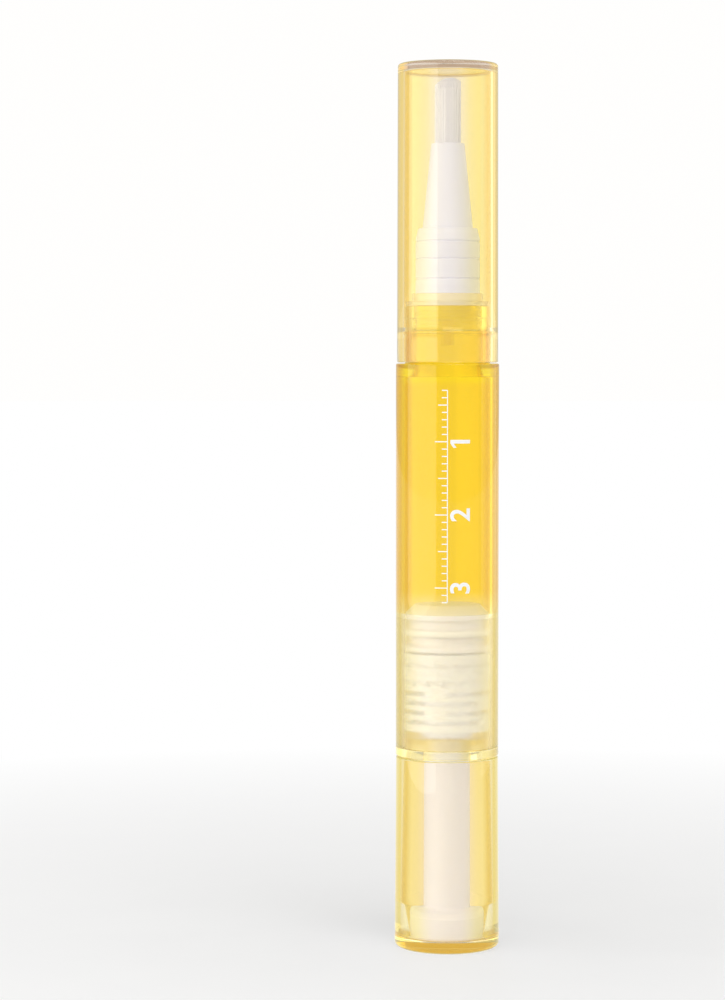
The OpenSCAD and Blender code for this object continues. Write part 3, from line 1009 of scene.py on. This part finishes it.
@dataclass
class BrushHead:
    """The clear plug in the neck, the white holder and the tuft."""

    bore_r: float = 0.83
    plug_low: float = 84.0
    plug_r: float = 4.7
    plug_edge: float = 0.25
    notch_r: float = 4.45
    notch_h: float = 0.6
    notches: tuple[float, ...] = (84.88, 86.11)
    spigot_low: float = 85.9
    spigot_r: float = 3.1
    socket_r: float = 3.13
    flange_r: float = 5.73
    flange_low: float = 87.4
    flange_top: float = 88.0
    lip_r: float = 4.83
    lip_bore_r: float = 4.38
    lip_top: float = 89.1
    collar_r: float = 4.35
    ring_r: float = 4.22
    rings: tuple[float, ...] = (91.11, 93.8, 96.11)
    ring_reach: float = 0.13
    ring_floor: float = 0.06
    collar_top: float = 96.42
    slope_r: float = 4.0
    cone_low: float = 97.9
    cone_low_r: float = 3.4
    cone_top: float = 109.3
    cone_top_r: float = 2.23
    mouth_r: float = 1.83
    tuft_r: float = 1.8
    tuft_low: float = 103.3
    tuft_top: float = 118.4
    slice_top: float = 104.3
    seed: int = 11
    root: float = 0.5
    crown_drop: float = 0.75
    slant: float = 0.5
    ragged: float = 0.14
    bend: float = 0.022
    strand_r: float = 0.062
    strand_cuts: tuple[float, ...] = (0.2, 0.4, 0.6, 0.8)
    tip_from: float = 0.985
    tip: float = 0.45
    pitch: float = 0.13
    core_bore_r: float = 0.4
    core_room: float = 0.05
    core_gap: float = 0.01
    core_edge: float = 1.7
    core_drop: float = 0.8

    def plug(self) -> Piece:
        """Clear plug with its flange, sealing grooves and the lip round the holder.

        Returns:
            The plug.
        """
        outline = [
            (self.bore_r, self.plug_low), (self.notch_r, self.plug_low, 0.05),
            (self.plug_r, self.plug_low + self.plug_edge, 0.05),
        ]
        for low in self.notches:
            outline += [
                (self.plug_r, low, 0.04), (self.notch_r, low, 0.05),
                (self.notch_r, low + self.notch_h, 0.05), (self.plug_r, low + self.notch_h, 0.04),
            ]
        outline += [
            (self.plug_r, self.flange_low), (self.flange_r, self.flange_low, 0.06),
            (self.flange_r, self.flange_top, 0.1), (self.lip_r, self.flange_top, 0.1),
            (self.lip_r, self.lip_top, 0.12), (self.lip_bore_r, self.lip_top, 0.06),
            (self.lip_bore_r, self.flange_top), (self.socket_r, self.flange_top),
            (self.socket_r, self.spigot_low), (self.bore_r, self.spigot_low),
        ]
        return turned("neck_plug_body", outline)

    def holder(self) -> Piece:
        """White holder: collar with three fine rings, sloped shoulder and cone.

        Returns:
            The holder.
        """
        outline = [
            (self.bore_r, self.spigot_low), (self.spigot_r, self.spigot_low, 0.1),
            (self.spigot_r, self.flange_top), (self.collar_r, self.flange_top, 0.1),
        ]
        for ring in self.rings:
            outline += [
                (self.collar_r, ring - self.ring_reach, 0.05), (self.ring_r, ring - self.ring_floor, 0.05),
                (self.ring_r, ring + self.ring_floor, 0.05), (self.collar_r, ring + self.ring_reach, 0.05),
            ]
        outline += [
            (self.collar_r, self.collar_top, 0.12), (self.slope_r, self.cone_low, 0.15),
            (self.cone_low_r, self.cone_low, 0.12), (self.cone_top_r, self.cone_top, 0.14),
            (self.mouth_r, self.cone_top, 0.06), (self.mouth_r, self.tuft_low),
            (self.bore_r, self.tuft_low),
        ]
        return turned("brush_holder_body", outline)

    def strand(self) -> tuple[list[Vector], list[tuple[int, ...]]]:
        """One strand, a unit tall, with a rounded tip.

        Returns:
            Its vertices and its faces.
        """
        deselect()
        bpy.ops.mesh.primitive_cylinder_add(
            vertices=5, radius=self.strand_r * MM, depth=1, location=(0, 0, 0), end_fill_type="TRIFAN"
        )
        strand = bpy.context.object
        open_mesh()
        bpy.ops.transform.translate(value=(0, 0, 0.5))
        sliced((0, 0, 1), [*self.strand_cuts, self.tip_from])
        close_mesh()
        for vertex in strand.data.vertices:
            if vertex.co.z > self.tip_from + 0.005:
                vertex.co.x *= self.tip
                vertex.co.y *= self.tip
        vertices = [v.co.copy() for v in strand.data.vertices]
        faces = [tuple(p.vertices) for p in strand.data.polygons]
        bpy.data.objects.remove(strand)
        return vertices, faces

    def strands(self, reach: float) -> Piece:
        """The strands, in a honeycomb with a slanted crown.

        Args:
            reach: radius within which they stand, in millimetres.

        Returns:
            All strands as one piece.
        """
        unit, unit_faces = self.strand()
        draw = random.Random(self.seed)
        vertices: list[Place] = []
        faces: list[tuple[int, ...]] = []
        low = self.tuft_low + self.root
        rows = math.ceil(2 * self.tuft_r / self.pitch)
        for row in range(-rows, rows + 1):
            for place in range(-rows, rows + 1):
                x = (place + (row % 2) / 2) * self.pitch
                y = row * self.pitch * math.sin(math.pi / 3)
                span = math.hypot(x, y)
                if not self.core_bore_r + self.core_room < span < reach:
                    continue
                high = self.tuft_top - self.crown_drop * (span / reach) ** 2
                high -= self.slant * (1 - x / reach) / 2 + draw.uniform(0, self.ragged)
                spin, lean = draw.uniform(0, math.tau), draw.uniform(0, math.tau)
                bend = draw.uniform(0, self.bend)
                start = len(vertices)
                for point in unit:
                    t = point.z
                    sway = bend * t * t
                    px = point.x * math.cos(spin) - point.y * math.sin(spin)
                    py = point.x * math.sin(spin) + point.y * math.cos(spin)
                    vertices.append((
                        (x + sway * math.cos(lean)) * MM + px,
                        (y + sway * math.sin(lean)) * MM + py,
                        (low + (high - low) * t) * MM,
                    ))
                faces += [tuple(start + i for i in face) for face in unit_faces]
        mesh = bpy.data.meshes.new("brush_tuft_strands")
        mesh.from_pydata(vertices, [], faces)
        strands = bpy.data.objects.new("brush_tuft_strands", mesh)
        bpy.context.scene.collection.objects.link(strands)
        smooth(strands, 80)
        LOG.info("tuft of %d strands", len(vertices) // len(unit))
        return strands

    def tuft(self) -> Piece:
        """The tuft: its strands, and a core that fills it below the crown, on a fused slice.

        Returns:
            The tuft.
        """
        reach = self.tuft_r - self.strand_r
        strands = self.strands(reach)
        core = turned("tuft_core", [
            (self.core_bore_r, self.tuft_low), (self.tuft_r, self.tuft_low, 0.1),
            (self.tuft_r, self.slice_top, 0.1), (reach - self.core_gap, self.slice_top, 0.05),
            (reach - self.core_gap, self.tuft_top - self.core_edge, 0.5),
            (self.core_bore_r, self.tuft_top - self.core_drop, 0.1),
        ], 64)
        return joined("brush_tuft_strands", [strands, core])

    def build(self, looks: Looks) -> None:
        """Builds the three pieces and hangs them on the barrel.

        Args:
            looks: the materials by name.
        """
        placed(self.plug(), Body.BARREL, "clear_plug", looks, "neck_plug")
        placed(self.holder(), Body.BARREL, "holder_white", looks, "brush_holder")
        placed(self.tuft(), Body.BARREL, "nylon", looks, "brush_tuft")


@dataclass
class Dispenser:
    """What moves the oil: the screw, the piston and the oil itself.

    The profile of the screw gives the shares of its pitch where the root ends and the crest starts and ends.
    """

    lead: float = 3.2
    starts: int = 2
    crest_r: float = 1.95
    root_r: float = 1.5
    profile: tuple[float, ...] = (0.28, 0.5, 0.78)
    flats: float = 3.3
    screw_low: float = 2.2
    screw_high: float = 40.9
    stem_r: float = 1.4
    stem_root: float = 0.2
    button_r: float = 2.05
    button: Span = (42.1, 42.9)
    head_top: float = 43.7
    nose_r: float = 4.33
    lip_r: float = 5.63
    waist_r: float = 5.08
    groove_r: float = 4.6
    skirt_r: float = 4.28
    boss_r: float = 2.95
    boss_bore_r: float = 1.5
    snap_r: float = 2.15
    piston_top: float = 47.0
    upper_lip: Span = (45.07, 45.7)
    waist: Span = (41.6, 44.8)
    groove: Span = (42.67, 43.73)
    lower_lip: Span = (40.7, 41.33)
    skirt_top: float = 42.6
    boss_low: float = 41.0
    snap: Span = (42.0, 43.8)
    travel: float = 32.0
    oil_low: float = 45.76
    oil_high: float = 83.97
    wet: float = 0.02
    kept_nodes: tuple[tuple[str, str], ...] = (
        ("feed_tube", "wet_tube"),
        ("thread_nut", "frosted_white"),
        ("click_sleeve", "frosted_white"),
        ("piston_ring", "seal_rubber"),
    )

    def screw(self) -> Piece:
        """Two-start threaded rod with two flats, and the head that turns in the piston.

        Returns:
            The screw.
        """
        pitch = self.lead / self.starts
        points: list[Point] = []
        for start in range(self.starts):
            base = start * pitch
            root_end, crest_low, crest_high = (base + share * pitch for share in self.profile)
            points += [
                (self.root_r, base), (self.root_r, root_end),
                (self.crest_r, crest_low), (self.crest_r, crest_high),
            ]
        points.append((self.root_r, self.lead))
        turns = math.ceil((self.screw_high - self.screw_low) / self.lead) + 2
        rod = wire("lead_screw_body", [(r, z + self.screw_low - self.lead) for r, z in points], closed=False)
        close_mesh()
        bpy.ops.object.modifier_add(type="SCREW")
        thread = rod.modifiers[-1]
        thread.axis, thread.screw_offset = "Z", self.lead * MM
        thread.steps = thread.render_steps = 40
        thread.iterations = turns
        thread.use_merge_vertices, thread.merge_threshold = True, 1e-7
        bpy.ops.object.modifier_apply(modifier=thread.name)
        tidy_mesh()
        cut(rod, Vector((0, 0, self.screw_low * MM)), Vector((0, 0, -1)))
        cut(rod, Vector((0, 0, self.screw_high * MM)), Vector((0, 0, 1)))
        for side in (-1, 1):
            cut(rod, Vector((0, side * self.flats / 2 * MM, 0)), Vector((0, side, 0)))
        activate(rod)
        tidy_mesh()
        root, (low, high) = self.screw_high - self.stem_root, self.button
        head = turned("screw_head", [
            (0, root), (self.stem_r, root), (self.stem_r, low, 0.1), (self.button_r, low, 0.08),
            (self.button_r, high, 0.1), (self.stem_r, self.head_top, 0.15), (0, self.head_top),
        ], 64)
        screw = joined("lead_screw_body", [rod, head])
        smooth(screw)
        return screw

    def piston(self) -> Piece:
        """Frosted piston: two sealing lips, the groove of its ring and a hollow boss.

        Returns:
            The piston.
        """
        return turned("piston_body", [
            (0, self.piston_top), (self.nose_r, self.piston_top, 0.25),
            (self.lip_r, self.upper_lip[1], 0.15), (self.lip_r, self.upper_lip[0], 0.15),
            (self.waist_r, self.waist[1], 0.2), (self.waist_r, self.groove[1], 0.05),
            (self.groove_r, self.groove[1], 0.1), (self.groove_r, self.groove[0], 0.1),
            (self.waist_r, self.groove[0], 0.05), (self.waist_r, self.waist[0], 0.2),
            (self.lip_r, self.lower_lip[1], 0.15), (self.lip_r, self.lower_lip[0], 0.15),
            (self.skirt_r, self.lower_lip[0], 0.1), (self.skirt_r, self.skirt_top, 0.2),
            (self.boss_r, self.skirt_top, 0.2), (self.boss_r, self.boss_low, 0.1),
            (self.boss_bore_r, self.boss_low, 0.1), (self.boss_bore_r, self.snap[0]),
            (self.snap_r, self.snap[0]), (self.snap_r, self.snap[1]), (0, self.snap[1]),
        ])

    def oil(self, home: Barrel) -> Piece:
        """The oil, round the nose of the piston and a little way into the wall round it.

        Args:
            home: the barrel that holds it.

        Returns:
            The oil.
        """
        wide, narrow = home.bore_r + self.wet, home.neck_bore_r + self.wet
        return turned("oil_body", [
            (0, self.oil_low), (wide, self.oil_low), (wide, home.cone_low, 0.4),
            (narrow, home.cone_top, 0.6), (narrow, self.oil_high), (0, self.oil_high),
        ])

    def build(self, looks: Looks, home: Barrel) -> None:
        """Builds the pieces, dresses the nodes that stay and gives the oil a mesh of its own.

        Args:
            looks: the materials by name.
            home: the barrel that holds the oil.
        """
        placed(self.screw(), Body.SCREW, "screw_white", looks, "lead_screw")
        placed(self.piston(), Body.PISTON, "piston_white", looks, "piston")
        liquid = self.oil(home)
        placed(liquid, Body.BARREL, "oil", looks, "oil_fill")
        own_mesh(liquid)
        for node, look in self.kept_nodes:
            dressed_node(node, looks[look])


# ---- the studio ----


@dataclass
class Studio:
    """The pale floor, the soft lights and the camera."""

    eye: Place = (0.0, -0.4, 0.082)
    lit: Place = (0.0, 0.0, 0.065)
    tilt: float = 3.0
    pan: float = 1.654
    lens: float = 105.95
    sky: float = 0.6
    backdrop: float = 1.0
    glossy_share: float = 0.1
    floor_r: float = 4.0
    floor_z: float = -0.00005
    under_pen: Span = (0.0, 0.04)
    fade: Span = (0.02, 0.2)

    def camera(self) -> None:
        """Stands the camera where the photograph's view of the pen is taken from."""
        data = bpy.data.cameras.new("camera")
        data.lens, data.sensor_width, data.clip_start = self.lens, 36, 0.01
        camera = bpy.data.objects.new("camera", data)
        camera.location = self.eye
        camera.rotation_euler = (math.radians(90 - self.tilt), 0, math.radians(self.pan))
        bpy.context.scene.collection.objects.link(camera)
        bpy.context.scene.camera = camera

    def softbox(self, name: str, azimuth: float, reach: float, height: float, size: Point, bright: float) -> None:
        """Adds a soft light that faces the pen.

        Args:
            name: name of the light.
            azimuth: degrees from the camera's direction, positive to the right.
            reach: distance from the pen, in metres.
            height: height of its middle, in metres.
            size: width and height, in metres.
            bright: radiance of its face.
        """
        data = bpy.data.lights.new(name, "AREA")
        data.shape = "RECTANGLE"
        data.size, data.size_y = size
        data.energy = bright * math.pi * size[0] * size[1]
        light = bpy.data.objects.new(name, data)
        turn = math.radians(azimuth)
        light.location = (math.sin(turn) * reach, -math.cos(turn) * reach, height)
        aim = Vector(self.lit) - light.location
        light.rotation_euler = aim.to_track_quat("-Z", "Y").to_euler()
        light.visible_camera = False
        bpy.context.scene.collection.objects.link(light)

    def world(self) -> None:
        """A plain soft sky, and a white background for what looks at or through the object."""
        world = bpy.data.worlds.new("studio")
        world.use_nodes = True
        bpy.context.scene.world = world
        weave = Weave(world.node_tree)
        back = next(n for n in world.node_tree.nodes if n.type == "BACKGROUND")
        path = weave.add(Key.PATH).outputs
        seen = weave.math("MAXIMUM", path["Is Camera Ray"], path["Is Transmission Ray"])
        shine = weave.math("MULTIPLY", path["Is Glossy Ray"], self.glossy_share)
        strength = weave.spread(weave.math("MAXIMUM", seen, shine), 0, 1, self.sky, self.backdrop)
        weave.fill(back, {"Color": (1.0, 0.995, 0.985, 1), "Strength": strength})

    def floor(self) -> None:
        """A round pale floor that fades into the background and keeps the shadow."""
        deselect()
        bpy.ops.mesh.primitive_circle_add(
            vertices=96, radius=self.floor_r, fill_type="NGON", location=(0, 0, self.floor_z)
        )
        floor = bpy.context.object
        floor.name = "floor"
        made, weave, shader = blank_material("pale_floor")
        pale = weave.mix(weave.noise(60.0, 4.0), (0.93, 0.93, 0.925, 1), (0.9, 0.9, 0.9, 1))
        weave.fill(shader, {"Base Color": pale, "Roughness": 0.6})
        away = weave.length(weave.place())
        # painted light: seen through or reflected in the pen, the floor is white emission, 0.7 of it right under
        # the pen, so no shadow shows there
        path = weave.add(Key.PATH).outputs
        through = weave.math("MAXIMUM", path["Is Glossy Ray"], path["Is Transmission Ray"])
        near = weave.spread(away, *self.under_pen, 0.7, 1)
        plain = weave.math("MULTIPLY", weave.spread(away, *self.fade), path["Is Camera Ray"])
        share = weave.math("MULTIPLY_ADD", near, through, plain)
        white = made.node_tree.nodes.new("ShaderNodeEmission")
        blend = made.node_tree.nodes.new("ShaderNodeMixShader")
        weave.fill(blend, {0: share, 1: shader.outputs[0], 2: white.outputs[0]})
        out = next(n for n in made.node_tree.nodes if n.type == "OUTPUT_MATERIAL")
        weave.fill(out, {"Surface": blend.outputs[0]})
        floor.data.materials.append(made)

    def build(self) -> None:
        """Sets up floor, lights, background and camera."""
        bpy.context.scene.view_settings.view_transform = "Standard"
        self.floor()
        self.world()
        self.softbox("left_softbox", -62, 0.36, 0.09, (0.55, 0.34), 1.4)
        self.softbox("right_softbox", 110, 0.4, 0.09, (0.45, 0.34), 0.6)
        self.softbox("top_softbox", 15, 0.3, 0.5, (0.4, 0.4), 2.2)
        self.camera()


FINISHES = (
    # painted: yellow sides and amber shade at the outline, and a brown band of shade round the rounded top edge
    ClearPlastic(
        "clear_cap", (0.96, 0.9, 0.79), (0.88, 0.54, 0.07), side=(0.965, 0.87, 0.5),
        side_from=0.0, side_to=0.12, stains=(Stain((0.52, 0.37, 0.25), 118.7, 119.0, 6.5),), gloss=0.2,
    ),
    # painted: yellow sides and amber shade at the outline, and the oil's yellow light carried into the clear
    # shoulder and neck above 77.4 mm
    ClearPlastic(
        "clear_barrel", (0.995, 0.92, 0.72), (0.7, 0.47, 0.04), side=(0.97, 0.85, 0.42),
        side_from=0.1, side_to=0.4, stains=(Stain((1.0, 0.96, 0.3), 76.6, 77.4),), gloss=0.6,
        frost=0.3, frost_below=46.0, frost_within=6.2,
    ),
    # painted: yellow sides and amber shade at the outline, and darker amber shade in the thick base below 2 mm
    ClearPlastic(
        "clear_knob", (0.975, 0.87, 0.7), (0.72, 0.48, 0.03), side=(0.985, 0.87, 0.44),
        side_from=0.07, side_to=0.19, stains=(Stain((0.72, 0.42, 0.03), 2.0, 1.5),), gloss=0.35,
    ),
    # painted: yellow sides and amber shade at the outline
    ClearPlastic("clear_ring", (0.97, 0.87, 0.62), (0.74, 0.5, 0.08), side=(0.97, 0.83, 0.34), polish=0.08),
    # painted: amber shade at the outline, and the oil's yellow seen through the plug below its flange
    ClearPlastic(
        "clear_plug", (1.0, 0.9, 0.62), (0.9, 0.72, 0.4), stains=(Stain((1.0, 0.77, 0.08), 87.5, 87.3),),
        clearness=0.6, polish=0.1,
    ),
    MouldedPlastic("white_tube", (0.96, 0.96, 1.0), (0.94, 0.93, 0.98), rough=0.3, glow=0.15),
    MouldedPlastic("holder_white", (0.89, 0.89, 0.99), (0.87, 0.87, 0.98), rough=0.32, glow=0.15),
    MouldedPlastic("screw_white", (0.95, 0.94, 0.9), (0.92, 0.9, 0.85), rough=0.4),
    MouldedPlastic("frosted_white", (1.0, 0.98, 0.95), (0.99, 0.96, 0.92), rough=0.5, see_through=0.12, glow=0.5),
    MouldedPlastic("piston_white", (1.0, 0.94, 0.93), (0.99, 0.92, 0.9), rough=0.45, see_through=0.12, glow=0.5),
    MouldedPlastic("seal_rubber", (0.98, 0.95, 0.9), (0.96, 0.93, 0.87), rough=0.6),
    # painted shade: deeper towards the outline
    Liquid("wet_tube", (1.0, 0.84, 0.2), (0.95, 0.7, 0.08), clearness=0.85),
    # painted: darker towards the outline as shade, and paler below 48.8 mm where the white piston shows through
    Liquid("oil", (1.0, 0.76, 0.03), (0.93, 0.58, 0.015), clearness=0.88, foot=Stain((1.0, 0.9, 0.5), 48.8, 46.0)),
    Filament("nylon", (0.98, 0.96, 1.0), (0.93, 0.91, 0.98)),
    MouldedPlastic("print_white", (0.93, 0.93, 0.93), (0.9, 0.9, 0.9), rough=0.4),
)


def main() -> None:
    """Builds the pen piece by piece and sets up the studio."""
    logging.basicConfig(level=logging.INFO, format="%(name)s: %(message)s")
    effects = Effects()
    looks = {finish.name: finish.material(effects) for finish in FINISHES}
    barrel = Barrel()
    Knob().build(looks)
    barrel.build(looks)
    Dispenser().build(looks, barrel)
    BrushHead().build(looks)
    Cap().build(looks)
    Studio().build()


if __name__ == "__main__":
    main()
